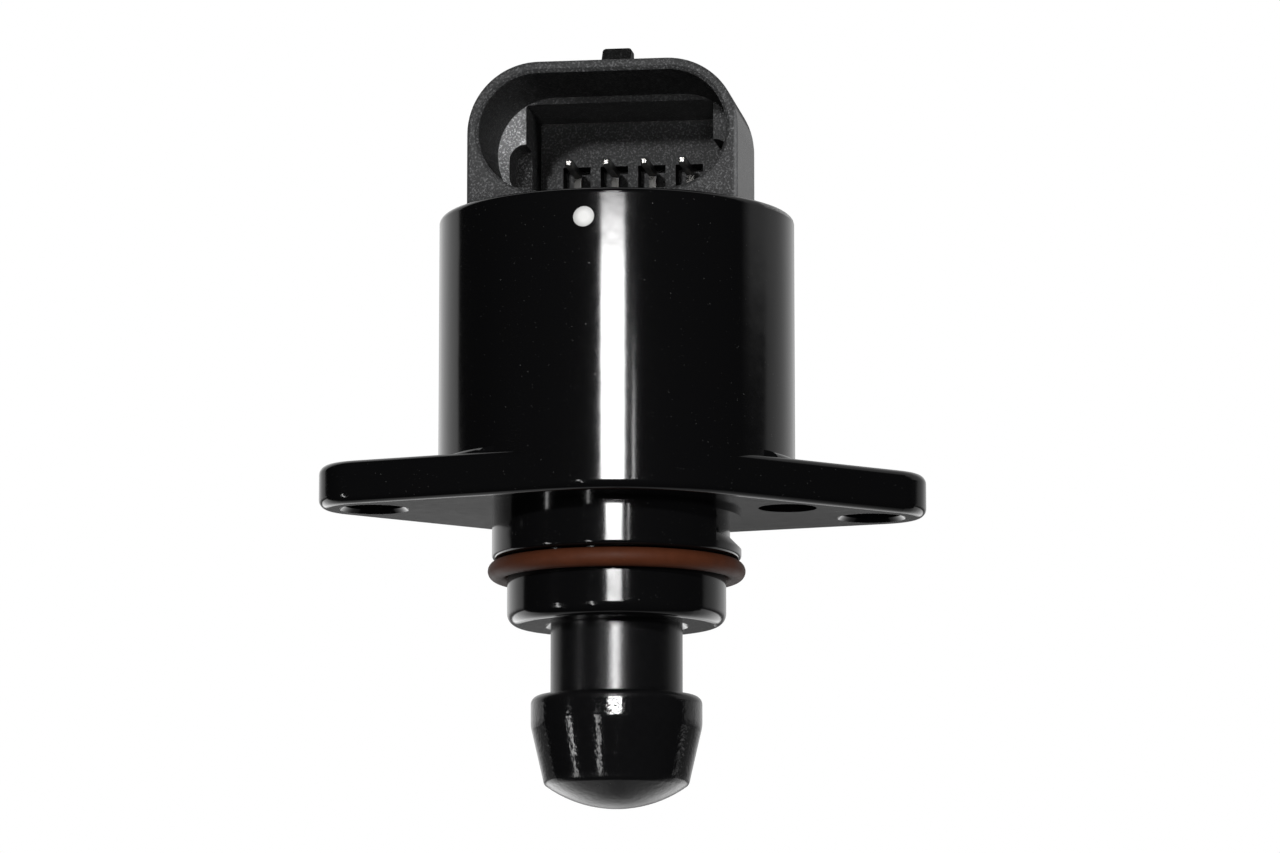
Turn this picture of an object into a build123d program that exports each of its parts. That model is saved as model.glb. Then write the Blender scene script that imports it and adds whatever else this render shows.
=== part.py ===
# Idle air control valve: a stepper motor in a flanged housing drives a sliding pintle.
# Millimetres. The valve's axis is Z and the flange seats on the plane Z = 0. The plug socket is
# above it, the spigot and the pintle below it, and the two bolt holes lie along X.
import math
import os

from build123d import *

# Barrel and flange
BODY_R = 17.5
BODY_TOP = 29.2
BODY_WALL = 1.8
BODY_RIM_ROUND = 0.6
FLANGE_T = 4.2
FLANGE_ROUND = 0.9
FLANGE_COVE = 0.6
EAR_R = 5.4
LEFT_HOLE = 23.8
RIGHT_HOLE = 25.3
HOLE_R = 3.0
HOLE_CHAMFER = 0.4
DIMPLE_X = 16.0
DIMPLE_Y = -6.0
DIMPLE_R = 2.85
DIMPLE_DEPTH = 2.4
DIMPLE_NUB_R = 0.9
DIMPLE_NUB_H = 1.0

# Neck, spigot and sealing ring below the flange
NECK_R = 12.2
NECK_LENGTH = 4.6
NECK_ROUND = 0.4
RELIEF_DEPTH = 1.1
RELIEF_ANGLE = 90
RELIEF_TOP = 0.5
RELIEF_BOTTOM = 2.5
SPIGOT_R = 10.7
SPIGOT_END = 11.1
SPIGOT_ROUND = 1.2
SEAL_SECTION = 1.88
SEAL_GAP = 0.2
SEAL_CLEARANCE = 0.03

# Pintle and its guide
STEM_R = 6.45
STEM_BORE_R = 4.9
STEM_FLOOR_T = 1.0
HEAD_R = 8.36
HEAD_STRAIGHT = 2.9
HEAD_ROUND = 0.8
CONE_BLEND = 3.0
NOSE_ROUND = 0.7
CONE_LENGTH = 5.7
CONE_END_R = 7.05
DOME_H = 2.33
KEY_REACH = 1.35
KEY_WIDTH = 3.0
KEY_HEIGHT = 2.5
EXTEND = 2.1
RETRACT = 6.2
RETRACT_CLEARANCE = 0.7
SLIDE_CLEARANCE = 0.1
KEY_CLEARANCE = 0.15
STOP_CLEARANCE = 0.1
GUIDE_TOP = 2.4
GUIDE_CHAMFER = 0.5

# Lead screw and spring
SCREW_R = 2.5
SCREW_GRIP = 7.0
SCREW_HEADROOM = 0.5
SCREW_CLEARANCE = 0.05
SCREW_CHAMFER = 0.5
BOND_CLEARANCE = 0.02
SPRING_MEAN_R = 3.75
SPRING_WIRE = 0.8
SPRING_TURNS = 7
SPRING_SIDES = 6
SEAT_T = 0.4
SEAT_RIM = 0.2

# Ball bearing
BEARING_R = 8.0
BEARING_BORE_R = 4.0
BEARING_W = 5.0
RACE_T = 1.35
BALL_R = 1.0
BALL_COUNT = 8
BALL_CLEARANCE = 0.04
CAGE_T = 0.7
CAGE_W = 3.0
BEARING_CLEARANCE = 0.02

# Stepper motor
POLE_PAIRS = 6
POLE_R = 8.0
POLE_T = 0.8
POLE_ROOT_ANGLE = 34
POLE_TIP_ANGLE = 18
POLE_TIP_GAP = 0.8
PLATE_T = 0.8
YOKE_T = 0.9
STATOR_CLEARANCE = 0.1
RACE_LIP = 0.5
BOBBIN_T = 0.7
BOBBIN_CLEARANCE = 0.05
COIL_MARGIN = 0.6
AIR_GAP = 0.4
HUB_R = 5.2
HUB_RISE = 0.2
MAGNET_CLEARANCE = 1.2
NUT_THREAD_LENGTH = 8.5
NUT_THREAD_ABOVE = 1.0
NUT_RELIEF = 0.4
JOURNAL_R = 3.0
JOURNAL_LENGTH = 2.4
JOURNAL_CLEARANCE = 0.05
BUSH_T = 1.6
END_PLAY = 0.4

# Cap that closes the barrel
CAP_T = 1.8
CAP_R_STEP = 0.6
CAP_CLEARANCE = 0.1
GASKET_T = 0.8
SKIRT_LENGTH = 3.2
SKIRT_T = 1.4
BOSS_T = 1.4

# Plug socket, drawn facing -Y and then turned about Z
SOCKET_YAW = 15.5
FACE_REACH = 10.2
SHROUD_W = 26.6
SHROUD_H = 14.1
SHROUD_CORNER = 7.0
SHROUD_WALL = 1.12
SHROUD_FLOOR = 1.4
MOUTH_H = 11.7
MOUTH_DEPTH = 11.8
MOUTH_ROUND = 0.35
RIM_ROUND = 0.4
WELL_W = 18.8
WELL_H = 10.4
WELL_DEPTH = 9.4
KEYWAY_X = 9.5
KEYWAY_W = 3.2
KEYWAY_H = 4.8
KEYWAY_DROP = 1.2
KEYWAY_DEPTH = 4.0
POCKET_W = 2.8
POCKET_RISE = 0.65
POCKET_DROP = 2.2
POCKET_DEPTH = 2.3
BLOCK_WALL = 1.3
BLOCK_CORNER = 5.0
BLOCK_ROUND = 4.4
LUG_W = 2.9
LUG_H = 3.4
LUG_FROM = 7.6
LUG_BACK = 12.0
LUG_FLAT = 1.5
LUG_ROUND = 0.35

# Terminals
PIN_COUNT = 4
PIN_PITCH = 3.82
PIN_SIZE = 0.7
PIN_REACH = 5.55
PIN_POINT = 0.15
PIN_WALL = 0.95
POST_WALL = 0.55
POST_H = 2.4
POST_GRIP = 1.5
POST_CLEARANCE = 0.03

# Sizes that follow from the ones above
BORE_R = BODY_R - BODY_WALL
RECESS_R = BORE_R + CAP_R_STEP
GUIDE_R = STEM_R + SLIDE_CLEARANCE
KEY_R = STEM_R + KEY_REACH
STEM_TOP = GUIDE_TOP - RETRACT - RETRACT_CLEARANCE
HEAD_TOP = -SPIGOT_END - RETRACT - RETRACT_CLEARANCE
STEM_FLOOR = HEAD_TOP + STEM_FLOOR_T
CONE_TOP = HEAD_TOP - HEAD_STRAIGHT
CONE_END = CONE_TOP - CONE_LENGTH
TIP = CONE_END - DOME_H
BEARING_Z = GUIDE_TOP + SEAT_T + SEAT_RIM
FLOOR = BEARING_Z + BEARING_W
BALL_TRACK_R = (BEARING_R + BEARING_BORE_R) / 2
CAP_BOTTOM = BODY_TOP - CAP_T
STACK_TOP = CAP_BOTTOM - SKIRT_LENGTH
STACK_H = (STACK_TOP - FLOOR) / 2
STATOR_R = BORE_R - STATOR_CLEARANCE
BOBBIN_R = POLE_R + POLE_T + BOBBIN_CLEARANCE
BOBBIN_OUT = STATOR_R - YOKE_T - BOBBIN_CLEARANCE
MAGNET_R = POLE_R - AIR_GAP
HUB_TOP = STACK_TOP
SCREW_TOP = HUB_TOP - RETRACT - SCREW_HEADROOM
SCREW_ROOT = STEM_FLOOR - SCREW_GRIP
NUT_THREAD_TO = SCREW_TOP + NUT_THREAD_ABOVE
NUT_THREAD_FROM = NUT_THREAD_TO - NUT_THREAD_LENGTH
MOUTH_W = SHROUD_W - 2 * SHROUD_WALL
SHROUD_TOP = BODY_TOP + SHROUD_H
MOUTH_Z = SHROUD_TOP - SHROUD_WALL - MOUTH_H / 2
FACE_Y = -FACE_REACH
SHROUD_DEPTH = MOUTH_DEPTH + SHROUD_FLOOR
WELL_Y = FACE_Y + MOUTH_DEPTH
BACK_Y = WELL_Y + WELL_DEPTH
LEG_Y = BACK_Y + PIN_WALL
BLOCK_W = 2 * (KEYWAY_X + KEYWAY_W / 2 + BLOCK_WALL)
BLOCK_BACK = BACK_Y + POCKET_DEPTH + BLOCK_WALL
BLOCK_TOP = MOUTH_Z + WELL_H / 2 + BLOCK_WALL
POST_TOP = STACK_TOP + POST_H
PIN_BOTTOM = POST_TOP - POST_GRIP


def disc(radius, bottom, top):
    return Pos(0, 0, bottom) * extrude(Circle(radius), top - bottom)


def ring(inner, outer, bottom, top):
    return Pos(0, 0, bottom) * extrude(Circle(outer) - Circle(inner), top - bottom)


def block(width, y_from, y_to, bottom, top):
    # a box centred on X = 0
    centre = (0, (y_from + y_to) / 2, (bottom + top) / 2)
    return Pos(*centre) * Box(width, y_to - y_from, top - bottom)


def turned(outline, angle=360):
    # turns a closed outline, drawn as radius and height, about the valve's axis
    return revolve(Plane.XZ * make_face(outline), Axis.Z, angle)


def towards_socket(shape):
    return Rot(0, 0, -SOCKET_YAW) * shape


def flange():
    rims = [Circle(BODY_R), Pos(-LEFT_HOLE, 0) * Circle(EAR_R), Pos(RIGHT_HOLE, 0) * Circle(EAR_R)]
    outline = make_hull([rim.edge() for rim in rims])
    plate = extrude(outline, FLANGE_T)
    outer_edges = plate.edges().group_by(Axis.Z)[0] + plate.edges().group_by(Axis.Z)[-1]
    plate = fillet(outer_edges, FLANGE_ROUND)
    top = FLANGE_T + FLANGE_COVE
    wide = BODY_R + FLANGE_COVE
    inner = BODY_R - FLANGE_COVE
    corner = Polyline((wide, FLANGE_T), (inner, FLANGE_T), (inner, top), (BODY_R, top))
    hollow = RadiusArc((BODY_R, top), (wide, FLANGE_T), FLANGE_COVE)
    cove = turned(corner + hollow)
    inside = extrude(offset(outline, -FLANGE_ROUND), top)
    return plate + (cove & inside)


def bolt_hole(x):
    drill = disc(HOLE_R, 0, FLANGE_T)
    flares = [
        Pos(0, 0, z) * Cone(low, high, HOLE_CHAMFER)
        for z, low, high in (
            (HOLE_CHAMFER / 2, HOLE_R + HOLE_CHAMFER, HOLE_R),
            (FLANGE_T - HOLE_CHAMFER / 2, HOLE_R, HOLE_R + HOLE_CHAMFER),
        )
    ]
    return Pos(x, 0) * (drill + flares)


def relief():
    # a moulded relief on the +X side of the neck, run out at 45 degrees above the lip
    inner = NECK_R - RELIEF_DEPTH
    outer = NECK_R + RELIEF_DEPTH
    outline = Polyline(
        (inner, -RELIEF_TOP),
        (outer, -RELIEF_TOP),
        (outer, -RELIEF_BOTTOM - 2 * RELIEF_DEPTH),
        (inner, -RELIEF_BOTTOM),
        close=True,
    )
    return Rot(0, 0, -RELIEF_ANGLE / 2) * turned(outline, RELIEF_ANGLE)


def key_bar(width, reach, bottom, top):
    # a bar across the axis, which gives both keys of the stem or both of their slots
    return block(width, -reach, reach, bottom, top)


def housing():
    barrel = disc(BODY_R, FLANGE_ROUND, BODY_TOP)
    barrel = fillet(barrel.edges().group_by(Axis.Z)[-1], BODY_RIM_ROUND)
    neck = disc(NECK_R, -NECK_LENGTH, FLANGE_ROUND)
    neck = fillet(neck.edges().group_by(Axis.Z)[0], NECK_ROUND)
    spigot = disc(SPIGOT_R, -SPIGOT_END, 0)
    spigot = fillet(spigot.edges().group_by(Axis.Z)[0], SPIGOT_ROUND)
    body = flange() + barrel + (neck - relief()) + spigot
    body -= disc(BORE_R, FLOOR, BODY_TOP)
    body -= disc(RECESS_R, CAP_BOTTOM - GASKET_T, BODY_TOP)
    body -= disc(BEARING_R + BEARING_CLEARANCE, GUIDE_TOP, FLOOR)
    body -= disc(GUIDE_R, -SPIGOT_END, GUIDE_TOP)
    lead_in = Cone(GUIDE_R + GUIDE_CHAMFER, GUIDE_R, GUIDE_CHAMFER)
    body -= Pos(0, 0, GUIDE_CHAMFER / 2 - SPIGOT_END) * lead_in
    slot_end = STEM_TOP - KEY_HEIGHT - EXTEND - STOP_CLEARANCE
    body -= key_bar(KEY_WIDTH + 2 * KEY_CLEARANCE, KEY_R + KEY_CLEARANCE, slot_end, GUIDE_TOP)
    body -= bolt_hole(-LEFT_HOLE) + bolt_hole(RIGHT_HOLE)
    dimple = disc(DIMPLE_R, 0, DIMPLE_DEPTH) - disc(DIMPLE_NUB_R, DIMPLE_DEPTH - DIMPLE_NUB_H, DIMPLE_DEPTH)
    return body - Pos(DIMPLE_X, DIMPLE_Y) * dimple


def seal_ring():
    section = SEAL_SECTION / 2
    height = -NECK_LENGTH - SEAL_GAP - section
    return Pos(0, 0, height) * Torus(SPIGOT_R + SEAL_CLEARANCE + section, section)


def full_circles(shape):
    # the shape's closed rims, grouped from the lowest up
    return shape.edges().filter_by(lambda edge: edge.is_closed).group_by(Axis.Z)


def pintle():
    shoulder = HEAD_TOP - HEAD_ROUND
    crown = CONE_END - TIP
    dome = (CONE_END_R**2 + crown**2) / (2 * crown)
    sides = Polyline(
        (0, TIP), (0, STEM_FLOOR), (STEM_BORE_R, STEM_FLOOR), (STEM_BORE_R, STEM_TOP), (STEM_R, STEM_TOP),
        (STEM_R, HEAD_TOP), (HEAD_R - HEAD_ROUND, HEAD_TOP),
    )
    corner = RadiusArc((HEAD_R - HEAD_ROUND, HEAD_TOP), (HEAD_R, shoulder), HEAD_ROUND)
    taper = Polyline((HEAD_R, shoulder), (HEAD_R, CONE_TOP), (CONE_END_R, CONE_END))
    nose = RadiusArc((CONE_END_R, CONE_END), (0, TIP), dome)
    body = turned(sides + corner + taper + nose)
    # the cone's upper rim first, so that its lower one is still the lowest
    body = fillet(full_circles(body)[1], CONE_BLEND)
    body = fillet(full_circles(body)[0], NOSE_ROUND)
    bottom = STEM_TOP - KEY_HEIGHT
    keys = key_bar(KEY_WIDTH, KEY_R, bottom, STEM_TOP) & ring(STEM_BORE_R, KEY_R, bottom, STEM_TOP)
    return body + keys - disc(SCREW_R + BOND_CLEARANCE, SCREW_ROOT, STEM_FLOOR)


def lead_screw():
    screw = disc(SCREW_R, SCREW_ROOT, SCREW_TOP)
    return chamfer(screw.edges().filter_by(GeomType.CIRCLE), SCREW_CHAMFER)


def spring_seat():
    plate = ring(SCREW_R + NUT_RELIEF, BEARING_R, GUIDE_TOP, GUIDE_TOP + SEAT_T)
    return plate + ring(BEARING_R - RACE_T, BEARING_R, GUIDE_TOP, BEARING_Z)


def spring():
    half = SPRING_WIRE / 2
    bottom = STEM_FLOOR + half
    height = GUIDE_TOP - half - bottom
    path = Helix(height / SPRING_TURNS, height, SPRING_MEAN_R)
    section = Plane(path @ 0, z_dir=path % 0) * RegularPolygon(half, SPRING_SIDES)
    return Pos(0, 0, bottom) * sweep(section, path, is_frenet=True)


def ball_track():
    middle = BEARING_Z + BEARING_W / 2
    return Pos(0, 0, middle) * Torus(BALL_TRACK_R, BALL_R + BALL_CLEARANCE)


def bearing_outer_race():
    return ring(BEARING_R - RACE_T, BEARING_R, BEARING_Z, FLOOR) - ball_track()


def bearing_inner_race():
    return ring(BEARING_BORE_R, BEARING_BORE_R + RACE_T, BEARING_Z, FLOOR) - ball_track()


def bearing_balls():
    middle = BEARING_Z + BEARING_W / 2
    places = PolarLocations(BALL_TRACK_R, BALL_COUNT)
    return Compound([Pos(0, 0, middle) * place * Sphere(BALL_R) for place in places])


def bearing_cage():
    middle = BEARING_Z + BEARING_W / 2
    half_t = CAGE_T / 2
    half_w = CAGE_W / 2
    band = ring(BALL_TRACK_R - half_t, BALL_TRACK_R + half_t, middle - half_w, middle + half_w)
    pocket = Rot(0, 90, 0) * Cylinder(BALL_R + BALL_CLEARANCE, 2 * CAGE_T)
    places = PolarLocations(BALL_TRACK_R, BALL_COUNT)
    return band - [Pos(0, 0, middle) * place * pocket for place in places]


def claws(plate_z, rise):
    # pole fingers that stand on a plate's inner edge; a negative rise points them down
    root = POLE_R * math.tan(math.radians(POLE_ROOT_ANGLE / 2))
    tip = POLE_R * math.tan(math.radians(POLE_TIP_ANGLE / 2))
    outline = Polyline(
        (-root, plate_z), (root, plate_z), (tip, plate_z + rise), (-tip, plate_z + rise), close=True
    )
    wedge = extrude(Plane.XZ * make_face(outline), POLE_R + 2 * POLE_T)
    low, high = sorted((plate_z, plate_z + rise))
    finger = wedge & ring(POLE_R, POLE_R + POLE_T, low, high)
    return [Rot(0, 0, 360 * i / POLE_PAIRS) * finger for i in range(POLE_PAIRS)]


def stator_plate(face_z, side):
    # a flat plate with claws; side is 1 where the claws point up from it
    bottom, top = sorted((face_z, face_z + side * PLATE_T))
    reach = STACK_H - PLATE_T - POLE_TIP_GAP
    return ring(POLE_R, STATOR_R, bottom, top) + claws(face_z, side * reach)


def stator_cup(face_z, side):
    far = face_z + side * (STACK_H - PLATE_T)
    bottom, top = sorted((face_z, far))
    return stator_plate(face_z, side) + ring(STATOR_R - YOKE_T, STATOR_R, bottom, top)


def half_pole(shape, steps):
    # turns a pole piece by a number of quarter pole pitches
    return Rot(0, 0, steps * 360 / POLE_PAIRS / 4) * shape


def stator_cup_lower():
    lip = ring(POLE_R - RACE_LIP, POLE_R + POLE_T, FLOOR, FLOOR + PLATE_T)
    return stator_cup(FLOOR, 1) + lip


def stator_cup_upper():
    wide = post_width() + 2 * BOBBIN_CLEARANCE
    slot = block(wide, *post_depth(BOBBIN_CLEARANCE), STACK_TOP - PLATE_T, STACK_TOP)
    return half_pole(stator_cup(STACK_TOP, -1), 3) - towards_socket(slot)


def bobbin(bottom):
    low = bottom + PLATE_T + BOBBIN_CLEARANCE
    high = bottom + STACK_H - PLATE_T - BOBBIN_CLEARANCE
    spool = ring(BOBBIN_R, BOBBIN_R + BOBBIN_T, low, high)
    for z in (low, high - BOBBIN_T):
        spool += ring(BOBBIN_R, BOBBIN_OUT, z, z + BOBBIN_T)
    return spool


def coil(bottom):
    edge = PLATE_T + BOBBIN_CLEARANCE + BOBBIN_T + BOBBIN_CLEARANCE
    low = bottom + edge
    high = bottom + STACK_H - edge
    inner = BOBBIN_R + BOBBIN_T + BOBBIN_CLEARANCE
    outer = BOBBIN_OUT - COIL_MARGIN
    sides = Polyline((outer - COIL_MARGIN, low), (inner, low), (inner, high), (outer - COIL_MARGIN, high))
    crown = ThreePointArc(
        (outer - COIL_MARGIN, high), (outer, (low + high) / 2), (outer - COIL_MARGIN, low)
    )
    return turned(sides + crown)


def post_width():
    return (PIN_COUNT - 1) * PIN_PITCH + PIN_SIZE + 2 * POST_WALL


def post_depth(margin):
    half = PIN_SIZE / 2 + POST_WALL + margin
    return LEG_Y - half, LEG_Y + half


def bobbin_upper():
    foot = STACK_TOP - PLATE_T - BOBBIN_CLEARANCE - BOBBIN_T
    post = block(post_width(), *post_depth(0), foot, POST_TOP)
    grip = PIN_SIZE + 2 * POST_CLEARANCE
    for x in pin_places():
        post -= Pos(x, LEG_Y, POST_TOP) * Box(grip, grip, 2 * (POST_GRIP + POST_CLEARANCE))
    return bobbin(FLOOR + STACK_H) + towards_socket(post)


def rotor_magnet():
    return ring(HUB_R, MAGNET_R, FLOOR + MAGNET_CLEARANCE, STACK_TOP - MAGNET_CLEARANCE)


def rotor_nut():
    hub = disc(HUB_R, FLOOR + HUB_RISE, HUB_TOP)
    shoulder = disc(BEARING_BORE_R + RACE_T / 2, FLOOR, FLOOR + HUB_RISE)
    lower = disc(BEARING_BORE_R - BEARING_CLEARANCE, BEARING_Z + SEAT_RIM, FLOOR)
    upper = disc(JOURNAL_R, HUB_TOP, HUB_TOP + JOURNAL_LENGTH)
    relief_r = SCREW_R + NUT_RELIEF
    nut = hub + shoulder + lower + upper
    nut -= disc(relief_r, BEARING_Z, NUT_THREAD_FROM)
    nut -= disc(SCREW_R + SCREW_CLEARANCE, NUT_THREAD_FROM, NUT_THREAD_TO)
    return nut - disc(relief_r, NUT_THREAD_TO, HUB_TOP)


def rear_bush():
    inner = JOURNAL_R + JOURNAL_CLEARANCE
    return ring(inner, inner + BUSH_T, HUB_TOP + END_PLAY, HUB_TOP + JOURNAL_LENGTH)


def cap_gasket():
    return ring(BORE_R, RECESS_R - CAP_CLEARANCE, CAP_BOTTOM - GASKET_T, CAP_BOTTOM)


def pin_places():
    return [(i - (PIN_COUNT - 1) / 2) * PIN_PITCH for i in range(PIN_COUNT)]


def terminal(x):
    half = PIN_SIZE / 2
    tongue = block(PIN_SIZE, BACK_Y - PIN_REACH, LEG_Y + half, MOUTH_Z - half, MOUTH_Z + half)
    tongue = chamfer(tongue.faces().sort_by(Axis.Y)[0].edges(), PIN_POINT)
    leg = block(PIN_SIZE, LEG_Y - half, LEG_Y + half, PIN_BOTTOM, MOUTH_Z)
    return towards_socket(Pos(x, 0, 0) * (tongue + leg))


def upright(outline, y_from, depth):
    # extrudes an outline drawn as X and height towards +Y
    return Pos(0, y_from, 0) * extrude(Plane.XZ * outline, -depth)


def arch(width, top, corner):
    # an outline that stands on the barrel's rim, with rounded upper corners
    tall = top - BODY_TOP
    outline = Pos(0, BODY_TOP + tall / 2) * Rectangle(width, tall)
    return fillet(outline.vertices().group_by(Axis.Y)[-1], corner)


def shroud():
    body = upright(arch(SHROUD_W, SHROUD_TOP, SHROUD_CORNER), FACE_Y, SHROUD_DEPTH)
    rim = body.faces().sort_by(Axis.Y)[0].edges().sort_by(Axis.Z)[1:]
    return fillet(rim, RIM_ROUND)


def rear_block():
    front = FACE_Y + SHROUD_DEPTH
    body = upright(arch(BLOCK_W, BLOCK_TOP, BLOCK_CORNER), front, BLOCK_BACK - front)
    rear_edges = body.faces().sort_by(Axis.Y)[-1].edges().sort_by(Axis.Z)[1:]
    return fillet(rear_edges, BLOCK_ROUND)


def latch_lug():
    back = FACE_Y + LUG_BACK
    top = SHROUD_TOP + LUG_H
    side = Polyline(
        (FACE_Y + LUG_FROM, SHROUD_TOP - SHROUD_WALL / 2),
        (back - LUG_FLAT, top),
        (back, top),
        (back, SHROUD_TOP - SHROUD_WALL / 2),
        close=True,
    )
    lug = extrude(Plane.YZ * make_face(side), LUG_W / 2, both=True)
    return fillet(lug.faces().sort_by(Axis.Z)[-1].edges().filter_by(Axis.Y), LUG_ROUND)


def socket_space():
    mouth = upright(Pos(0, MOUTH_Z) * SlotOverall(MOUTH_W, MOUTH_H), FACE_Y, MOUTH_DEPTH)
    flare = Plane.XZ * (Pos(0, MOUTH_Z) * SlotOverall(MOUTH_W + 2 * MOUTH_ROUND, MOUTH_H + 2 * MOUTH_ROUND))
    mouth += Pos(0, FACE_Y, 0) * extrude(flare, -MOUTH_ROUND, taper=45)
    well = upright(Pos(0, MOUTH_Z) * Rectangle(WELL_W, WELL_H), WELL_Y, WELL_DEPTH)
    slot = Rot(0, 0, 90) * SlotOverall(KEYWAY_H, KEYWAY_W)
    keyways = [
        upright(Pos(side * KEYWAY_X, MOUTH_Z - KEYWAY_DROP) * slot, WELL_Y, KEYWAY_DEPTH) for side in (-1, 1)
    ]
    level = MOUTH_Z + (POCKET_RISE - POCKET_DROP) / 2
    pocket = Rectangle(POCKET_W, POCKET_RISE + POCKET_DROP)
    pockets = [upright(Pos(x, level) * pocket, BACK_Y, POCKET_DEPTH) for x in pin_places()]
    return mouth + well + keyways + pockets


def connector_cap():
    lid = disc(RECESS_R - CAP_CLEARANCE, CAP_BOTTOM, BODY_TOP)
    skirt_r = BORE_R - CAP_CLEARANCE
    skirt = ring(skirt_r - SKIRT_T, skirt_r, STACK_TOP, CAP_BOTTOM)
    skirt -= block(post_width() + 2 * POST_WALL, 0, BODY_R, STACK_TOP, CAP_BOTTOM)
    bush_r = JOURNAL_R + JOURNAL_CLEARANCE + BUSH_T + BEARING_CLEARANCE
    boss = ring(bush_r, bush_r + BOSS_T, HUB_TOP + END_PLAY, CAP_BOTTOM)
    cap = lid + skirt + boss + shroud() + rear_block() + latch_lug() - socket_space()
    return towards_socket(cap) - [terminal(x) for x in pin_places()]


nodes = {
    "housing": housing(),
    "connector_cap": connector_cap(),
    "seal_ring": seal_ring(),
    "cap_gasket": cap_gasket(),
    "pintle": pintle(),
    "lead_screw": lead_screw(),
    "spring_seat": spring_seat(),
    "spring": spring(),
    "bearing_outer_race": bearing_outer_race(),
    "bearing_inner_race": bearing_inner_race(),
    "bearing_cage": bearing_cage(),
    "bearing_balls": bearing_balls(),
    "stator_cup_lower": stator_cup_lower(),
    "stator_plate_lower": half_pole(stator_plate(FLOOR + STACK_H, -1), 2),
    "stator_plate_upper": half_pole(stator_plate(FLOOR + STACK_H, 1), 1),
    "stator_cup_upper": stator_cup_upper(),
    "bobbin_lower": bobbin(FLOOR),
    "bobbin_upper": bobbin_upper(),
    "coil_lower": coil(FLOOR),
    "coil_upper": coil(FLOOR + STACK_H),
    "rotor_magnet": rotor_magnet(),
    "rotor_nut": rotor_nut(),
    "rear_bush": rear_bush(),
}
for number, x in enumerate(pin_places(), 1):
    nodes[f"terminal_{number}"] = terminal(x)

os.makedirs("parts", exist_ok=True)
for name, solid in nodes.items():
    export_step(solid, f"parts/{name}.step")
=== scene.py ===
import math

import bpy
from bpy.props import FloatProperty, FloatVectorProperty, IntProperty, PointerProperty
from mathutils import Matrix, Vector


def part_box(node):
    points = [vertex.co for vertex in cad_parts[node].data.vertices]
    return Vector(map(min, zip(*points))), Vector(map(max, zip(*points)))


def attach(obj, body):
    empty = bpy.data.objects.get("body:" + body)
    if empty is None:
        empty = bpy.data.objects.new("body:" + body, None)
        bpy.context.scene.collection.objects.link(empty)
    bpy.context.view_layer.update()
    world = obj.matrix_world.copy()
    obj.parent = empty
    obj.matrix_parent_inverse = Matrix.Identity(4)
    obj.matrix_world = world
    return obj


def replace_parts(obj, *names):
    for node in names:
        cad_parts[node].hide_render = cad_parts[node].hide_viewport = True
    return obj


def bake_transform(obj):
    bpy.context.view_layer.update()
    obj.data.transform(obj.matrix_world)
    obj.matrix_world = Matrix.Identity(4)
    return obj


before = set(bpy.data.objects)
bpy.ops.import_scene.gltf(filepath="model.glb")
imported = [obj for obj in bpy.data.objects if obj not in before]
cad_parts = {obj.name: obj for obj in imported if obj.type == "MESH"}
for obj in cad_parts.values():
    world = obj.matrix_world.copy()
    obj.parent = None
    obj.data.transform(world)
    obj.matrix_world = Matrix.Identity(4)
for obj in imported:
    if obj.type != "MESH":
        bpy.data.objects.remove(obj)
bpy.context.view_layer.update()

bl_info = {
    "name": "Idle air valve",
    "version": (1, 0, 0),
    "blender": (4, 5, 0),
    "location": "3D View > Sidebar > Valve",
    "description": "Finishes, small pieces and studio for an idle air control valve",
    "category": "Object",
}

# Sizes of the CAD part that the finishes and the new pieces follow, in metres.
LEAD = 0.001  # the screw's travel in one turn
SOCKET_TURN = math.radians(15.5)  # the socket, round the valve's axis
MOUTH_FACE = -0.0102  # the socket's front, along its own axis
MOUTH_FLOOR = 0.0016  # where the wide mouth ends and the well begins
MOUTH_LEVEL = 0.03633  # the middle of the mouth
MOUTH_STRAIGHT = 0.00635  # half the straight part of the mouth's outline
CONE_TOP = -0.0188
DOME_TOP = -0.0262

PLAIN_END = 0.8 * LEAD  # the screw without thread, at each end
TURN_STEPS = 40  # faces round one turn of a thread or a spring
RING_STEPS = 96  # faces round a winding
ROW_STEPS = 6  # points across one row of wire

LIGHT_DISTANCE = 0.6
LIGHT_AIM = Vector((0, 0, 0.01))
STRIP_WIDE = 0.155
SENSOR_WIDE = 36  # of the camera, in millimetres


class ValveSizes(bpy.types.PropertyGroup):
    dab_width: FloatProperty(
        name="Dab width",
        description="Width of the white inspection mark",
        default=0.0020,
        unit="LENGTH",
    )
    dab_height: FloatProperty(
        name="Dab height",
        description="How far the mark stands proud",
        default=0.00012,
        unit="LENGTH",
    )
    dab_level: FloatProperty(
        name="Dab level",
        description="Height of the mark over the seating face",
        default=0.0263,
        unit="LENGTH",
    )
    dab_turn: FloatProperty(
        name="Dab turn",
        description="Where the mark sits round the barrel, from the front",
        default=math.radians(-17.5),
        subtype="ANGLE",
    )
    thread_depth: FloatProperty(
        name="Thread depth",
        description="Depth of the lead screw's thread",
        default=0.00055,
        unit="LENGTH",
    )
    wire: FloatProperty(
        name="Spring wire",
        description="Thickness of the spring's wire",
        default=0.0008,
        unit="LENGTH",
    )
    spring_turns: IntProperty(
        name="Spring turns", description="Turns of the spring", default=7
    )
    wound_rows: IntProperty(
        name="Wound rows", description="Rows of wire on the outside of each coil", default=16
    )


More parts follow.
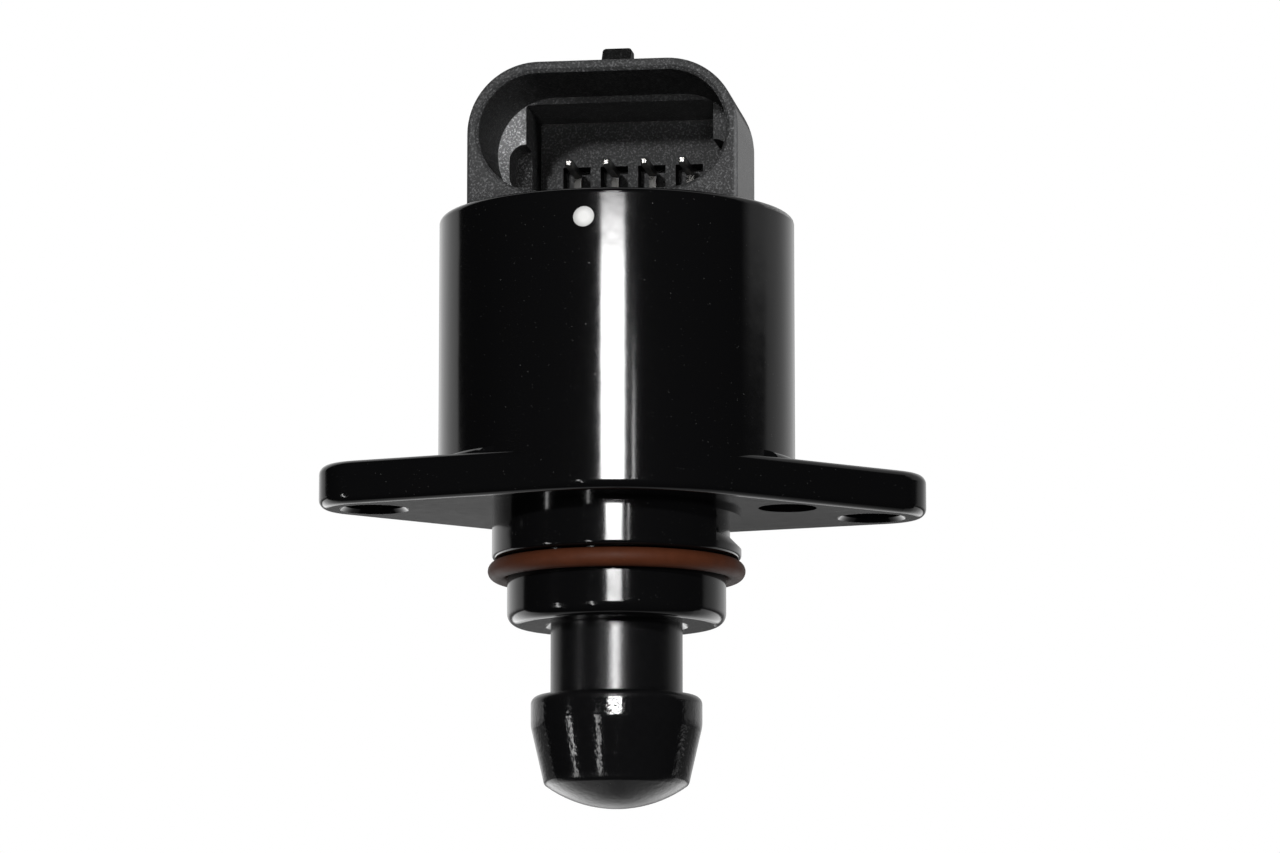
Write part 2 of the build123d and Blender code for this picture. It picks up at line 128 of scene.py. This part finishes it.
class ValveColours(bpy.types.PropertyGroup):
    black: FloatVectorProperty(
        name="Gloss black",
        description="Barrel, flange and spigot",
        default=(0.0013, 0.0013, 0.0014),
        subtype="COLOR",
    )
    charcoal: FloatVectorProperty(
        name="Charcoal",
        description="Grained plug socket",
        default=(0.020, 0.0202, 0.0205),
        subtype="COLOR",
    )
    brown: FloatVectorProperty(
        name="Seal brown",
        description="Rubber sealing ring",
        default=(0.0205, 0.0058, 0.0024),
        subtype="COLOR",
    )
    white: FloatVectorProperty(
        name="Paint",
        description="Inspection mark",
        default=(0.30, 0.30, 0.295),
        subtype="COLOR",
    )
    tin: FloatVectorProperty(
        name="Tin",
        description="Plated pins",
        default=(0.50, 0.49, 0.47),
        subtype="COLOR",
    )
    copper: FloatVectorProperty(
        name="Copper",
        description="Enamelled wire of the coils",
        default=(0.60, 0.22, 0.08),
        subtype="COLOR",
    )


class ValveStage(bpy.types.PropertyGroup):
    distance: FloatProperty(
        name="Camera distance",
        description="From the camera to the valve's axis",
        default=0.525,
        unit="LENGTH",
    )
    camera_level: FloatProperty(
        name="Camera level",
        description="Camera height over the seating face",
        default=-0.073,
        unit="LENGTH",
    )
    camera_turn: FloatProperty(
        name="Camera turn",
        description="Camera round the valve's axis",
        default=math.radians(7),
        subtype="ANGLE",
    )
    camera_aside: FloatProperty(
        name="Camera aside",
        description="Sight line to the right of the axis",
        default=math.radians(0.249),
        subtype="ANGLE",
    )
    camera_pitch: FloatProperty(
        name="Camera pitch",
        description="Upward tilt of the camera",
        default=math.radians(8.84),
        subtype="ANGLE",
    )
    lens: FloatProperty(name="Lens", description="Focal length", default=152.16, unit="CAMERA")


class Wire:
    """One output of a node. Maths on it adds Math nodes."""

    def __init__(self, finish, socket):
        self.finish = finish
        self.socket = socket

    def maths(self, operation, first, second=0.0):
        return self.finish.node("ShaderNodeMath", {"operation": operation}, {0: first, 1: second})

    def __add__(self, other):
        return self.maths("ADD", self, other)

    __radd__ = __add__

    def __sub__(self, other):
        return self.maths("SUBTRACT", self, other)

    def __rsub__(self, other):
        return self.maths("SUBTRACT", other, self)

    def __mul__(self, other):
        return self.maths("MULTIPLY", self, other)

    __rmul__ = __mul__

    def __truediv__(self, other):
        return self.maths("DIVIDE", self, other)

    def __pow__(self, other):
        return self.maths("POWER", self, other)

    def at_least(self, level):
        return self.maths("MAXIMUM", self, level)


class Finish:
    """A node tree of one surface or of the world, made a node at a time."""

    def __init__(self, owner):
        owner.use_nodes = True
        self.tree = owner.node_tree
        self.shader = next((n for n in self.tree.nodes if n.type == "BSDF_PRINCIPLED"), None)

    def node(self, kind, settings=None, values=None, output=0):
        made = self.tree.nodes.new(kind)
        for name, value in (settings or {}).items():
            if name == "stops":
                ramp = made.color_ramp.elements
                while len(ramp) < len(value):
                    ramp.new(0.5)
                for stop, (place, level) in zip(ramp, value):
                    stop.position = place
                    stop.color = (level, level, level, 1)
            else:
                setattr(made, name, value)
        for name, value in (values or {}).items():
            self.feed(made.inputs[name], value)
        return Wire(self, made.outputs[output])

    def feed(self, socket, value):
        if isinstance(value, Wire):
            self.tree.links.new(value.socket, socket)
        else:
            socket.default_value = value

    def set(self, **values):
        for name, value in values.items():
            label = name.replace("_", " ").title().replace("Ior", "IOR")
            self.feed(self.shader.inputs[label], value)

    def place(self):
        return self.node("ShaderNodeTexCoord", output=3)

    def parts(self, place):
        split = self.node("ShaderNodeSeparateXYZ", values={0: place}).socket.node
        return [Wire(self, out) for out in split.outputs]

    def noise(self, scale, detail=2.0, rough=0.5, stretch=None):
        place = self.place()
        if stretch:
            place = self.node("ShaderNodeMapping", values={"Vector": place, "Scale": stretch})
        return self.node(
            "ShaderNodeTexNoise",
            values={"Vector": place, "Scale": scale, "Detail": detail, "Roughness": rough},
        )

    def ramp(self, value, *stops):
        return self.node("ShaderNodeValToRGB", {"stops": stops}, {0: value})

    def over(self, value, *stops):
        """A ramp with its stops in the value's own unit."""
        first, last = stops[0][0], stops[-1][0]
        span = last - first
        shares = [((at - first) / span, level) for at, level in stops]
        return self.ramp((value - first) / span, *shares)

    def mix(self, share, first, second):
        return self.node(
            "ShaderNodeMix",
            {"data_type": "RGBA"},
            {0: share, 6: colour(first), 7: colour(second)},
            output=2,
        )

    def bump(self, height, depth, strength=1.0):
        return self.node(
            "ShaderNodeBump", values={"Height": height, "Distance": depth, "Strength": strength}
        )


def colour(value):
    return value if isinstance(value, Wire) else (*value[:3], 1.0)


def scaled(value, factor):
    return tuple(c * factor for c in value[:3])


def new_finish(name):
    material = bpy.data.materials.new(name)
    return material, Finish(material)


def wear(material, *nodes):
    """Puts a finish on nodes of the CAD part."""
    for name in nodes:
        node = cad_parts[name]
        if node.material_slots:
            for place in node.material_slots:
                place.material = material
        else:
            node.data.materials.append(material)


def moulded_black(name, base):
    """Glossy moulded plastic with faint flow marks, dust and fine scuffs."""
    material, finish = new_finish(name)
    flow = finish.noise(60.0, 2.0)
    haze = finish.noise(900.0, 3.0, 0.6)
    dust = finish.ramp(finish.noise(4200.0, 1.0), (0.74, 0.0), (0.82, 1.0))
    finish.set(
        base_color=finish.mix(dust * 0.05, base, (0.30, 0.30, 0.29)),
        roughness=0.06 + 0.05 * haze + 0.04 * flow + 0.2 * dust,
        normal=finish.bump(finish.noise(420.0, 1.5), 0.000007),
    )
    return material


def socket_place(finish):
    """Place in the socket's own directions: to its right, into it and up."""
    across, along, up = finish.parts(finish.place())
    return (
        across * math.cos(SOCKET_TURN) - along * math.sin(SOCKET_TURN),
        across * math.sin(SOCKET_TURN) + along * math.cos(SOCKET_TURN),
        up,
    )


def turned_black(name, base):
    """Black plastic of the pintle: a satin stem over an uneven, glossy cone."""
    material, finish = new_finish(name)
    level = finish.parts(finish.place())[2]
    stem = finish.over(level - CONE_TOP, (-0.0002, 0.0), (0.0002, 1.0))
    dome = finish.over(level - DOME_TOP, (-0.0004, 1.0), (0.0004, 0.0))
    haze = finish.noise(1500.0, 3.0, 0.6)
    uneven = finish.noise(1700.0, 2.0, 0.55)
    finish.set(
        base_color=finish.mix(haze * 0.3, base, scaled(base, 2.5)),
        roughness=0.07 + 0.06 * haze + 0.15 * stem + 0.16 * dome,
        normal=finish.bump(uneven * (1.0 - 0.8 * stem), 0.00003),
    )
    return material


def grained_charcoal(name, base):
    """Matt plastic with a mould grain that catches the light, its crests paler; painted shade in
    the mouth, on the well's sides and on the lug, and painted light on the right flank and the
    mouth floor's left end.
    """
    material, finish = new_finish(name)
    grain = finish.noise(4800.0, 3.0, 0.62)
    patch = finish.noise(240.0, 2.0)
    peaks = finish.ramp(grain, (0.50, 0.0), (0.70, 1.0))
    tone = finish.mix(patch, scaled(base, 0.6), scaled(base, 1.05))
    aside, depth, up = socket_place(finish)
    inwards = depth - MOUTH_FACE
    deeper = depth - MOUTH_FLOOR
    rise = up - MOUTH_LEVEL
    offset = (aside * aside) ** 0.5
    # the smoother outer side on the right, painted lighter as painted light, and the lug on top,
    # painted darker as painted shade
    smooth_lit_flank = finish.over(aside, (0.0129, 0.0), (0.0131, 1.0))
    lug = finish.over(up, (0.0434, 0.0), (0.0436, 1.0))
    # painted light at the left end of the mouth's floor: painted paler, with its grain crests shown
    # more and paler
    painted_light_crescent = finish.over(deeper, (-0.0003, 0.0), (-0.0002, 1.0), (0.0002, 1.0), (0.0003, 0.0))
    painted_light_crescent = painted_light_crescent * finish.over(aside, (-0.00833, 0.0), (-0.010, 1.0))
    # painted shade on the mouth's own wall: inside its outline and behind the rim
    beyond = (offset - MOUTH_STRAIGHT).at_least(0.0)
    mouth_wall_shade = finish.over((beyond * beyond + rise * rise) ** 0.5, (0.0060, 1.0), (0.0064, 0.0))
    stops = ((0.0, 0.0), (0.00075, 1.0), (0.0115, 1.0), (0.011625, 0.0))
    mouth_wall_shade = mouth_wall_shade * finish.over(inwards, *stops)
    # painted shade on the side walls of the well
    sides = finish.over(offset, (0.0091, 0.0), (0.00924, 1.0), (0.0124, 1.0), (0.0126, 0.0))
    stops = ((0.00015, 0.0), (0.0003, 1.0), (0.00975, 1.0), (0.010, 0.0))
    sides = sides * finish.over(deeper, *stops)
    # painted shade: the mouth's wall and the well's sides are darkened most of the way to near
    # black, and the lug almost wholly
    shaded = 0.7 * (mouth_wall_shade + sides) + 0.97 * lug
    # painted light: the right flank is painted 2.6 times lighter than the plain charcoal
    lit = finish.mix(smooth_lit_flank, tone, scaled(base, 2.6))
    # painted light: the left end of the mouth's floor is painted 8 times lighter
    plain = finish.mix(painted_light_crescent, lit, scaled(base, 8.0))
    # paler grain crests, thirty times the plain charcoal at the mouth floor's left end as painted
    # light
    crests = finish.mix(painted_light_crescent, scaled(base, 4.5), scaled(base, 30.0))
    # fewer crests show on the lug, as part of its painted shade
    shown = peaks * (0.6 + 0.4 * painted_light_crescent) * (1.0 - 0.8 * lug)
    finish.set(
        base_color=finish.mix(shown, finish.mix(shaded, plain, (0.002, 0.002, 0.002)), crests),
        roughness=0.46 + 0.2 * grain - 0.1 * peaks - 0.24 * smooth_lit_flank,
        specular_ior_level=0.06,
        normal=finish.bump(grain, 0.00005, 0.8),
    )
    return material


def tinned_pin(name, base):
    """Tin plate that is bright at the pin's point and darkened towards its root, deep in the
    socket, as painted shade.
    """
    material, finish = new_finish(name)
    depth = socket_place(finish)[1]
    # painted shade: the tin is darkened to 0.12 of its colour towards the root
    root = finish.over(depth, (0.0058, 0.0), (0.0078, 1.0))
    lines = finish.noise(2400.0, 2.0, 0.6)
    finish.set(
        base_color=finish.mix(root, base, scaled(base, 0.12)),
        metallic=1.0,
        roughness=0.3 + 0.16 * lines,
        normal=finish.bump(lines, 0.000004),
    )
    return material


def rubber(name, base):
    """Matt rubber with a slight bloom."""
    material, finish = new_finish(name)
    bloom = finish.noise(700.0, 3.0, 0.6)
    specks = finish.ramp(finish.noise(3800.0, 1.0), (0.66, 0.0), (0.76, 1.0))
    finish.set(
        base_color=finish.mix(bloom * 0.55 + specks * 0.25, base, scaled(base, 2.0)),
        roughness=0.46 + 0.2 * bloom,
        specular_ior_level=0.15,
        normal=finish.bump(finish.noise(2200.0, 2.0), 0.00001),
    )
    return material


def plated(name, base, rough, stretch=(1.0, 1.0, 1.0)):
    """Bright metal with drawn lines along one direction."""
    material, finish = new_finish(name)
    lines = finish.noise(2400.0, 2.0, 0.6, stretch)
    tarnish = finish.noise(380.0, 2.0)
    finish.set(
        base_color=finish.mix(tarnish * 0.5, base, scaled(base, 0.62)),
        metallic=1.0,
        roughness=rough + 0.16 * lines,
        normal=finish.bump(lines, 0.000004),
    )
    return material


def moulded_pale(name, base):
    """Pale moulded plastic with faint flow marks."""
    material, finish = new_finish(name)
    flow = finish.noise(260.0, 2.0)
    finish.set(
        base_color=finish.mix(flow * 0.5, base, scaled(base, 0.8)),
        roughness=0.38 + 0.15 * flow,
        normal=finish.bump(finish.noise(1800.0, 2.0), 0.000006),
    )
    return material


def sintered(name, base, metal):
    """Pressed powder with open pores."""
    material, finish = new_finish(name)
    pores = finish.ramp(finish.noise(3200.0, 3.0, 0.6), (0.40, 1.0), (0.52, 0.0))
    finish.set(
        base_color=finish.mix(pores, base, scaled(base, 0.4)),
        metallic=metal,
        roughness=0.42 + 0.25 * pores,
        normal=finish.bump(1.0 - pores, 0.00002),
    )
    return material


def enamelled_wire(name, base):
    """Varnished copper wire."""
    material, finish = new_finish(name)
    varnish = finish.noise(900.0, 2.0)
    finish.set(
        base_color=finish.mix(varnish * 0.6, base, scaled(base, 0.55)),
        metallic=0.85,
        roughness=0.24 + 0.14 * varnish,
        coat_weight=0.3 + 0.3 * varnish,
    )
    return material


def paint(name, base, turn, level, reach):
    """Brushed-on paint, thinner towards the edge of its dab."""
    material, finish = new_finish(name)
    mottle = finish.noise(2200.0, 2.0)
    across, along, up = finish.parts(finish.place())
    aside = across * math.cos(turn) + along * math.sin(turn)
    rise = up - level
    share = (aside * aside + rise * rise) ** 0.5 / reach
    thin = finish.ramp(share, (0.45, 0.0), (0.98, 1.0))
    full = finish.mix(mottle * 0.25, base, scaled(base, 0.8))
    finish.set(
        base_color=finish.mix(thin, full, scaled(base, 0.62)),
        roughness=0.35 + 0.2 * mottle,
        normal=finish.bump(mottle, 0.00002),
    )
    return material


def round_the_axis(turn, distance, level):
    """A place in front of the valve, turned to the left round its axis."""
    return Vector((-math.sin(turn) * distance, -math.cos(turn) * distance, level))


def clear_selection():
    if bpy.context.mode != "OBJECT":
        bpy.ops.object.mode_set(mode="OBJECT")
    bpy.ops.object.select_all(action="DESELECT")


def active(piece):
    clear_selection()
    piece.select_set(True)
    bpy.context.view_layer.objects.active = piece


def apply_all(piece):
    active(piece)
    for modifier in list(piece.modifiers):
        bpy.ops.object.modifier_apply(modifier=modifier.name)


def close_ends():
    """Fills the open ends of the active, swept piece."""
    bpy.ops.object.mode_set(mode="EDIT")
    bpy.ops.mesh.select_all(action="SELECT")
    bpy.ops.mesh.remove_doubles(threshold=1e-7)
    bpy.ops.mesh.fill_holes(sides=0)
    bpy.ops.object.mode_set(mode="OBJECT")


def settle(piece, name, material, body):
    """Names a finished piece, closes its mesh, gives it its finish and lets it ride."""
    active(piece)
    bpy.ops.object.transform_apply(location=True, rotation=True, scale=True)
    bpy.ops.object.mode_set(mode="EDIT")
    bpy.ops.mesh.select_all(action="SELECT")
    bpy.ops.mesh.remove_doubles(threshold=1e-7)
    bpy.ops.mesh.normals_make_consistent(inside=False)
    bpy.ops.object.mode_set(mode="OBJECT")
    bpy.ops.object.shade_smooth_by_angle(angle=math.radians(40))
    piece.name = piece.data.name = name
    piece.data.materials.clear()
    piece.data.materials.append(material)
    if body:
        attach(piece, body)
    return piece


class VALVE_OT_black_mouldings(bpy.types.Operator):
    """Gives the housing and the pintle their gloss black finish"""

    bl_idname = "valve.black_mouldings"
    bl_label = "Black mouldings"

    def execute(self, context):
        base = context.scene.valve_colours.black
        wear(moulded_black("gloss_black", base), "housing")
        wear(turned_black("valve_black", scaled(base, 1.15)), "pintle")
        return {"FINISHED"}


class VALVE_OT_socket_finish(bpy.types.Operator):
    """Gives the plug socket its grain with painted shade and painted light, and the pins their
    plating with painted shade at their roots
    """

    bl_idname = "valve.socket_finish"
    bl_label = "Plug socket"

    def execute(self, context):
        colours = context.scene.valve_colours
        wear(grained_charcoal("charcoal_grain", colours.charcoal), "connector_cap")
        pins = [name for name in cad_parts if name.startswith("terminal")]
        wear(tinned_pin("tinned", colours.tin), *pins)
        return {"FINISHED"}


class VALVE_OT_seals(bpy.types.Operator):
    """Gives the sealing ring and the gasket their rubber"""

    bl_idname = "valve.seals"
    bl_label = "Seals"

    def execute(self, context):
        wear(rubber("seal_brown", context.scene.valve_colours.brown), "seal_ring")
        wear(rubber("gasket_black", (0.02, 0.02, 0.02)), "cap_gasket")
        return {"FINISHED"}


class VALVE_OT_motor_finish(bpy.types.Operator):
    """Gives the motor's parts inside the housing their metals and plastics"""

    bl_idname = "valve.motor_finish"
    bl_label = "Motor parts"

    def execute(self, context):
        wear(
            plated("steel", (0.56, 0.56, 0.57), 0.2),
            "spring_seat",
            "bearing_outer_race",
            "bearing_inner_race",
            "bearing_balls",
        )
        poles = [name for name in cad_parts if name.startswith("stator")]
        wear(plated("pole_steel", (0.50, 0.51, 0.53), 0.3, (1.0, 1.0, 0.15)), *poles)
        wear(moulded_pale("bobbin_white", (0.76, 0.75, 0.70)), "bobbin_lower", "bobbin_upper")
        wear(moulded_pale("nut_cream", (0.70, 0.64, 0.50)), "rotor_nut")
        wear(sintered("ferrite", (0.05, 0.05, 0.055), 0.2), "rotor_magnet")
        wear(sintered("bronze", (0.55, 0.37, 0.17), 1.0), "rear_bush", "bearing_cage")
        return {"FINISHED"}


class VALVE_OT_inspection_dab(bpy.types.Operator):
    """Puts the white paint mark on the barrel"""

    bl_idname = "valve.inspection_dab"
    bl_label = "Inspection dab"

    def execute(self, context):
        sizes = context.scene.valve_sizes
        width, height, level = sizes.dab_width, sizes.dab_height, sizes.dab_level
        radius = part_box("housing")[1].y
        clear_selection()
        bpy.ops.mesh.primitive_circle_add(vertices=40, radius=width / 2, fill_type="NGON")
        dab = context.object
        bpy.ops.object.mode_set(mode="EDIT")
        bpy.ops.mesh.select_all(action="SELECT")
        bpy.ops.mesh.extrude_region_move(TRANSFORM_OT_translate={"value": (0, 0, height * 0.55)})
        # two steps towards the middle round its top
        for step, rise in ((0.10, 0.30), (0.16, 0.15)):
            bpy.ops.mesh.inset(thickness=width * step, depth=height * rise)
        bpy.ops.object.mode_set(mode="OBJECT")
        # the mark lies on the barrel, sunk by a quarter: local Z is outwards, local Y is up
        front = sizes.dab_turn
        for corner in dab.data.vertices:
            around, up, out = corner.co
            edge = 1 + 0.03 * math.sin(2 * math.atan2(up, around) + 0.6)
            turn = front + around * edge / radius
            reach = radius - height * 0.25 + out
            corner.co = Vector((reach * math.sin(turn), -reach * math.cos(turn), level + up * edge))
        white = paint("paint_white", context.scene.valve_colours.white, front, level, width / 2)
        settle(dab, "inspection_dab", white, "valve_body")
        return {"FINISHED"}


class VALVE_OT_lead_screw(bpy.types.Operator):
    """Cuts a thread on the lead screw"""

    bl_idname = "valve.lead_screw"
    bl_label = "Lead screw"

    def execute(self, context):
        low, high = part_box("lead_screw")
        depth = context.scene.valve_sizes.thread_depth
        outer, root = high.x, high.x - depth
        clear_selection()
        bpy.ops.mesh.primitive_cylinder_add(
            vertices=48, radius=root, depth=high.z - low.z, location=(0, 0, (low.z + high.z) / 2)
        )
        core = context.object
        bpy.ops.object.mode_set(mode="EDIT")
        bpy.ops.mesh.select_all(action="SELECT")
        bpy.ops.mesh.bevel(offset=depth * 0.6, segments=2)
        bpy.ops.object.mode_set(mode="OBJECT")
        clear_selection()
        bpy.ops.mesh.primitive_plane_add(size=1, location=(0, 0, 0))
        ridge = context.object
        # the thread's section: wide at its foot, inside the core, and narrow at its crest
        foot = root - depth * 0.2
        section = (
            (foot, -0.42 * LEAD),
            (outer, -0.14 * LEAD),
            (outer, 0.14 * LEAD),
            (foot, 0.42 * LEAD),
        )
        for corner, (reach, rise) in zip((0, 1, 3, 2), section):
            ridge.data.vertices[corner].co = Vector((reach, 0, low.z + PLAIN_END + rise))
        turns = (high.z - low.z - 2 * PLAIN_END) / LEAD
        sweep = ridge.modifiers.new("thread", "SCREW")
        sweep.angle = 2 * math.pi * turns
        sweep.screw_offset = LEAD * turns
        sweep.steps = sweep.render_steps = int(turns * TURN_STEPS)
        apply_all(ridge)
        close_ends()
        core.select_set(True)
        context.view_layer.objects.active = core
        bpy.ops.object.join()
        steel = plated("screw_steel", (0.58, 0.58, 0.59), 0.16)
        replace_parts(settle(core, "threaded_screw", steel, "pintle"), "lead_screw")
        return {"FINISHED"}


class VALVE_OT_spring(bpy.types.Operator):
    """Winds the spring that holds the screw's play to one side"""

    bl_idname = "valve.spring"
    bl_label = "Spring"

    def execute(self, context):
        sizes = context.scene.valve_sizes
        low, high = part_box("spring")
        radius = sizes.wire / 2
        clear_selection()
        bpy.ops.mesh.primitive_circle_add(
            vertices=12, radius=radius, rotation=(math.pi / 2, 0, 0)
        )
        coil = context.object
        bpy.ops.object.transform_apply(location=False, rotation=True, scale=False)
        for corner in coil.data.vertices:
            corner.co += Vector((high.x - radius, 0, low.z + radius))
        sweep = coil.modifiers.new("winding", "SCREW")
        sweep.angle = 2 * math.pi * sizes.spring_turns
        sweep.screw_offset = high.z - low.z - 2 * radius
        sweep.steps = sweep.render_steps = TURN_STEPS * sizes.spring_turns
        apply_all(coil)
        close_ends()
        steel = plated("spring_steel", (0.50, 0.50, 0.51), 0.2)
        settle(coil, "spring_wire", steel, None)
        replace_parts(coil, "spring")
        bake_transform(coil)
        return {"FINISHED"}


class VALVE_OT_windings(bpy.types.Operator):
    """Winds both coils in rows of wire"""

    bl_idname = "valve.windings"
    bl_label = "Windings"

    def execute(self, context):
        rows = context.scene.valve_sizes.wound_rows
        wire = enamelled_wire("copper", context.scene.valve_colours.copper)
        for node in ("coil_lower", "coil_upper"):
            low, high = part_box(node)
            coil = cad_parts[node]
            inner = min((coil.matrix_world @ v.co).to_2d().length for v in coil.data.vertices)
            pitch = (high.z - low.z) / rows
            half = pitch / 2
            clear_selection()
            bpy.ops.mesh.primitive_circle_add(vertices=ROW_STEPS * rows + 2, radius=1)
            winding = context.object
            profile = [(inner, high.z), (inner, low.z)]
            for row in range(rows):
                middle = low.z + pitch * (row + 0.5)
                for step in range(ROW_STEPS):
                    angle = math.pi * (step / ROW_STEPS - 0.5)
                    reach = high.x - half + half * math.cos(angle)
                    profile.append((reach, middle + half * math.sin(angle)))
            for corner, (reach, level) in zip(winding.data.vertices, profile):
                corner.co = Vector((reach, 0, level))
            sweep = winding.modifiers.new("turn", "SCREW")
            sweep.steps = sweep.render_steps = RING_STEPS
            apply_all(winding)
            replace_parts(settle(winding, node + "_winding", wire, "valve_body"), node)
        return {"FINISHED"}


class VALVE_OT_stage(bpy.types.Operator):
    """Sets up the light, the white surroundings and the camera"""

    bl_idname = "valve.stage"
    bl_label = "Studio"

    def light(self, name, turn, level, wide, tall, watts, shows=True, lights=True):
        """An area light aimed at the valve, which shows in reflections, lights, or both."""
        lamp = bpy.data.lights.new(name, "AREA")
        lamp.shape = "RECTANGLE"
        lamp.size, lamp.size_y = wide, tall
        lamp.energy = watts
        holder = bpy.data.objects.new(name, lamp)
        bpy.context.scene.collection.objects.link(holder)
        holder.location = round_the_axis(turn, LIGHT_DISTANCE, level)
        aim = LIGHT_AIM - holder.location
        holder.rotation_euler = aim.to_track_quat("-Z", "Y").to_euler()
        holder.visible_glossy = shows
        holder.visible_diffuse = lights
        holder.visible_camera = False

    def surroundings(self, turn):
        """White wherever the camera looks. In reflections, white only behind the valve."""
        world = bpy.data.worlds.new("studio")
        bpy.context.scene.world = world
        finish = Finish(world)
        sky = next(n for n in finish.tree.nodes if n.type == "BACKGROUND")
        heading = finish.node("ShaderNodeTexCoord", output=0)
        across, along, up = finish.parts(heading)
        # how far a direction points away from the camera, and to the camera's right
        level = (across * across + along * along).at_least(0.0001) ** 0.5
        behind = (across * math.sin(turn) + along * math.cos(turn)) / level
        aside = (across * math.cos(turn) - along * math.sin(turn)) / level
        # the white reaches further round in the lower reflections
        low = finish.over(up, (0.125, 1.0), (0.15, 0.0))
        rear = behind + 0.14 * low
        stops = ((0.545, 0.0), (0.575, 0.36), (0.72, 0.42), (0.89, 0.6), (0.97, 0.66))
        left = finish.ramp(rear, *stops)
        stops = ((0.33, 0.0), (0.41, 0.19), (0.54, 0.235), (0.70, 0.31), (0.87, 0.45), (0.97, 0.5))
        right = finish.ramp(rear, *stops)
        # a dim patch on the right that shows at the top of the barrel
        high = finish.over(up, (0.17167, 0.0), (0.18, 1.0))
        begun = finish.over(behind, (-0.03, 0.0), (0.12, 1.0))
        right = right.at_least(0.27 * high * begun)
        side = finish.over(aside, (-0.02, 0.0), (0.02, 1.0))
        straight = finish.ramp(behind, (0.975, 1.0), (0.992, 0.5))
        back = (left + side * (right - left)) * straight
        # bright below, for the dome, and dim just under the horizon, for the flange's underside
        stops = (
            (-0.76, 0.13),
            (-0.40, 0.68),
            (-0.22, 0.8),
            (-0.16, 0.065),
            (-0.08, 0.065),
            (0.06, 0.275),
        )
        slope = finish.over(up, *stops)
        seen = finish.node("ShaderNodeLightPath", output=0)
        glow = 0.005 + 5.4 * back * slope
        finish.feed(sky.inputs["Strength"], seen.at_least(glow))
        sky.inputs["Color"].default_value = (1, 1, 1, 1)

    def execute(self, context):
        stage = context.scene.valve_stage
        turn = stage.camera_turn
        self.surroundings(turn)
        strip = turn + math.radians(2.6)
        # each row: name, turn, level, width, height and watts
        reflected = (
            ("strip_softbox", strip, 0.105, STRIP_WIDE, 0.063, 1.3),
            ("strip_fade", strip, 0.141, STRIP_WIDE, 0.009, 0.016),
            ("strip_end", strip, 0.156, STRIP_WIDE, 0.02, 0.0108),
            ("strip_top", strip, 0.36, 0.10, 0.10, 0.8),
            ("strip_low", strip, 0.062, STRIP_WIDE, 0.016, 0.012),
            ("strip_stem", strip, 0.0385, STRIP_WIDE, 0.021, 1.0),
            ("narrow_strip", turn - math.radians(10.5), 0.09, 0.006, 0.03, 0.02),
            ("low_streak_near", turn + math.radians(26), -0.14, 0.016, 0.32, 0.25),
            ("low_streak_far", turn + math.radians(67), -0.14, 0.022, 0.32, 0.3),
        )
        for row in reflected:
            self.light(*row, lights=False)
        unseen = (
            ("left_key", turn + math.radians(16.5), 0.128, 0.03, 0.03, 6.2),
            ("low_fill", turn, -0.2, 0.1, 0.1, 2.4),
            ("right_fill", turn - math.radians(41.5), 0.04, 0.05, 0.05, 3.0),
        )
        for row in unseen:
            self.light(*row, shows=False)
        camera = bpy.data.cameras.new("camera")
        camera.sensor_width = SENSOR_WIDE
        camera.lens = stage.lens
        holder = bpy.data.objects.new("camera", camera)
        context.scene.collection.objects.link(holder)
        holder.location = round_the_axis(turn, stage.distance, stage.camera_level)
        holder.rotation_euler = (math.pi / 2 + stage.camera_pitch, 0, -turn - stage.camera_aside)
        context.scene.camera = holder
        context.scene.view_settings.view_transform = "Standard"
        return {"FINISHED"}


class VALVE_PT_sidebar(bpy.types.Panel):
    """Lists the valve's steps and the sizes and colours that they use"""

    bl_idname = "VALVE_PT_sidebar"
    bl_label = "Idle air valve"
    bl_space_type = "VIEW_3D"
    bl_region_type = "UI"
    bl_category = "Valve"

    def draw(self, context):
        scene = context.scene
        for group in (scene.valve_sizes, scene.valve_colours, scene.valve_stage):
            box = self.layout.box()
            for name in group.__annotations__:
                box.prop(group, name)
        for step in STEPS:
            self.layout.operator(step.bl_idname)


STEPS = (
    VALVE_OT_black_mouldings,
    VALVE_OT_socket_finish,
    VALVE_OT_seals,
    VALVE_OT_motor_finish,
    VALVE_OT_inspection_dab,
    VALVE_OT_lead_screw,
    VALVE_OT_spring,
    VALVE_OT_windings,
    VALVE_OT_stage,
)
CLASSES = (ValveSizes, ValveColours, ValveStage, *STEPS, VALVE_PT_sidebar)


def register():
    for cls in CLASSES:
        bpy.utils.register_class(cls)
    bpy.types.Scene.valve_sizes = PointerProperty(type=ValveSizes)
    bpy.types.Scene.valve_colours = PointerProperty(type=ValveColours)
    bpy.types.Scene.valve_stage = PointerProperty(type=ValveStage)


def unregister():
    del bpy.types.Scene.valve_stage, bpy.types.Scene.valve_colours, bpy.types.Scene.valve_sizes
    for cls in reversed(CLASSES):
        bpy.utils.unregister_class(cls)


def main():
    register()
    bpy.ops.valve.black_mouldings()
    bpy.ops.valve.socket_finish()
    bpy.ops.valve.seals()
    bpy.ops.valve.motor_finish()
    bpy.ops.valve.inspection_dab()
    bpy.ops.valve.lead_screw()
    bpy.ops.valve.spring()
    bpy.ops.valve.windings()
    bpy.ops.valve.stage()


if __name__ == "__main__":
    main()
